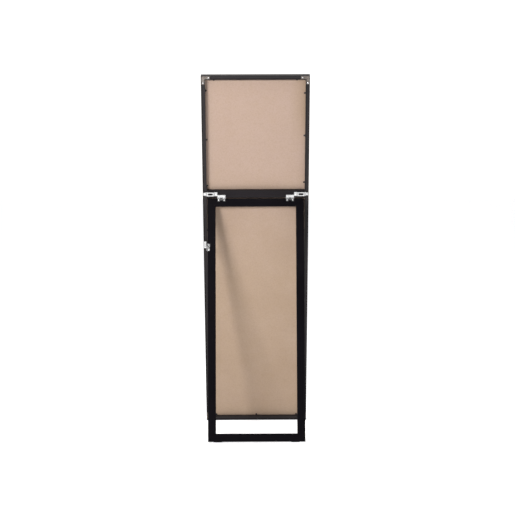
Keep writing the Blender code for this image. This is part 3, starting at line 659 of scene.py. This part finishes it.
def make_screws(axes_of, material):
    """A detailed screw in the place of each CAD screw, turned by its own angle."""
    meshes = {}
    for number, name in enumerate(sorted(n for n in frame["nodes"] if "_screw_" in n)):
        body = frame["nodes"][name]["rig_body"]
        axes = axes_of[body]
        low, high = local_box(name, axes)
        centre = (low + high) / 2
        length = high.y - low.y - HEAD_HEIGHT
        key = round(length, 5)
        if key not in meshes:
            shank_radius = shank_radius_of(name, axes, centre)
            meshes[key] = screw_mesh((high.x - low.x) / 2, HEAD_HEIGHT, shank_radius, length)
        seat = Matrix.Translation((centre.x, high.y - HEAD_HEIGHT, centre.z))
        place = axes @ seat @ Matrix.Rotation(number * SCREW_TURN, 4, "Y")
        piece = make_piece(name + "_detail", meshes[key], place, material, body)
        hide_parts(name)


def pad_mesh(size):
    """A moulded rubber foot: a rounded block with grooves across its sole, centred."""
    across, deep, tall = size / 2
    outline = [(-across, tall), (-across, -tall)]
    for i in range(GROOVES):
        x = -across + 2 * across * (i + 1) / (GROOVES + 1)
        outline += [
            (x - GROOVE_WIDTH / 2, -tall), (x - GROOVE_WIDTH / 4, -tall + GROOVE_DEPTH),
            (x + GROOVE_WIDTH / 4, -tall + GROOVE_DEPTH), (x + GROOVE_WIDTH / 2, -tall),
        ]
    outline += [(across, -tall), (across, tall)]
    bm = extruded(outline, lambda p: deep)
    bmesh.ops.transform(bm, matrix=Matrix.Rotation(-pi / 2, 4, "Z"), verts=bm.verts)
    round_edges(bm, PAD_ROUNDING)
    return finish_mesh("foot_pad", bm)


def make_feet(axes_of, material):
    """Moulded feet in the place of the CAD pads."""
    for name in sorted(n for n in frame["nodes"] if "_foot_pad_" in n):
        body = frame["nodes"][name]["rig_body"]
        axes = axes_of[body]
        low, high = local_box(name, axes)
        place = axes @ Matrix.Translation((low + high) / 2)
        mesh = pad_mesh(high - low)
        piece = make_piece(name + "_moulded", mesh, place, material, body)
        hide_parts(name)


# ---------------------------------------------------------------- studio


def make_floor():
    """A plain pale floor far wider than the view."""
    bm = bmesh.new()
    corners = ((-1, -1), (1, -1), (1, 1), (-1, 1))
    bm.faces.new([bm.verts.new((FLOOR_HALF * x, FLOOR_HALF * y, -FLOOR_DROP)) for x, y in corners])
    mesh = bpy.data.meshes.new("floor")
    bm.to_mesh(mesh)
    bm.free()
    floor = bpy.data.objects.new("floor", mesh)
    bpy.context.scene.collection.objects.link(floor)
    s = Surface("floor_white", Specular_IOR_Level=0.2, Emission_Color=FLOOR_GLOW_COLOUR,
                Emission_Strength=FLOOR_GLOW)
    tone = s.blend(s.noise(FLOOR_PATCHES), *FLOOR_TONES)
    rough = s.spread(s.noise(FLOOR_SHEEN), 0.3, 0.7, 0.7, 0.8)
    mesh.materials.append(s.finish(tone, rough))


def make_world():
    """Soft white surroundings that the camera sees evenly, and that light the object less
    from overhead and from behind the camera."""
    world = bpy.data.worlds.new("studio")
    bpy.context.scene.world = world
    world.use_nodes = True
    tree = world.node_tree
    background = tree.nodes["Background"]
    background.inputs["Color"].default_value = WORLD_COLOUR
    place = tree.nodes.new("ShaderNodeTexCoord")
    parts = tree.nodes.new("ShaderNodeSeparateXYZ")
    tree.links.new(place.outputs["Generated"], parts.inputs[0])
    product = tree.nodes.new("ShaderNodeMath")
    product.operation = "MULTIPLY"
    levels = (("Z", WORLD_TOP_FROM, WORLD_LEVEL, WORLD_TOP),
              ("Y", WORLD_BEHIND_FROM, 1.0, WORLD_BEHIND))
    for i, (output, (start, end), low, high) in enumerate(levels):
        level = tree.nodes.new("ShaderNodeMapRange")
        level.interpolation_type = "SMOOTHSTEP"
        level.inputs["From Min"].default_value = start
        level.inputs["From Max"].default_value = end
        level.inputs["To Min"].default_value = low
        level.inputs["To Max"].default_value = high
        tree.links.new(parts.outputs[output], level.inputs["Value"])
        tree.links.new(level.outputs["Result"], product.inputs[i])
    seen = tree.nodes.new("ShaderNodeLightPath").outputs["Is Camera Ray"]
    backdrop = tree.nodes.new("ShaderNodeMix")
    backdrop.inputs[3].default_value = WORLD_LEVEL
    tree.links.new(seen, backdrop.inputs[0])
    tree.links.new(product.outputs[0], backdrop.inputs[2])
    tree.links.new(backdrop.outputs[0], background.inputs["Strength"])


def make_lamp(name, place, aim, size, power, shape, colour):
    """A soft area lamp that faces a point."""
    data = bpy.data.lights.new(name, "AREA")
    data.shape = shape
    data.size = size
    data.energy = power
    data.color = colour
    lamp = bpy.data.objects.new(name, data)
    bpy.context.scene.collection.objects.link(lamp)
    lamp.location = place
    lamp.rotation_euler = (aim - place).to_track_quat("-Z", "Y").to_euler()


def make_camera():
    """The camera stands behind the mirror and looks slightly down at the stand."""
    flat = cos(CAMERA_PITCH)
    forward = Vector((sin(CAMERA_YAW) * flat, -cos(CAMERA_YAW) * flat, -sin(CAMERA_PITCH)))
    level = forward.cross(Vector((0, 0, 1))).normalized()
    upright = level.cross(forward)
    right = level * cos(CAMERA_ROLL) + upright * sin(CAMERA_ROLL)
    up = upright * cos(CAMERA_ROLL) - level * sin(CAMERA_ROLL)
    data = bpy.data.cameras.new("camera")
    data.lens = LENS
    data.sensor_width = SENSOR
    camera = bpy.data.objects.new("camera", data)
    bpy.context.scene.collection.objects.link(camera)
    camera.matrix_world = make_axes(right, up, -forward, CAMERA_AT)
    bpy.context.scene.camera = camera


def make_studio():
    """Surroundings, floor, lamps and camera."""
    make_world()
    make_floor()
    make_lamp("key", KEY_AT, KEY_AIM, KEY_SIZE, KEY_POWER, "DISK", KEY_COLOUR)
    make_lamp("side", SIDE_AT, KEY_AIM, SIDE_SIZE, SIDE_POWER, "DISK", KEY_COLOUR)
    make_lamp("overhead", TOP_AT, TOP_AIM, TOP_SIZE, TOP_POWER, "SQUARE", TOP_COLOUR)
    make_camera()
    bpy.context.scene.view_settings.view_transform = "Standard"


def main():
    """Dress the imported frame, add the small parts and set up the studio."""
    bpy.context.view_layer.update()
    mirror = mirror_axes()
    axes_of = {"frame": mirror, "stand": stand_axes()}
    materials = make_materials()
    paint_cad(materials)
    make_clips(mirror, materials["frame_black"])
    make_screws(axes_of, materials["screw_steel"])
    make_feet(axes_of, materials["rubber_black"])
    make_studio()


main()
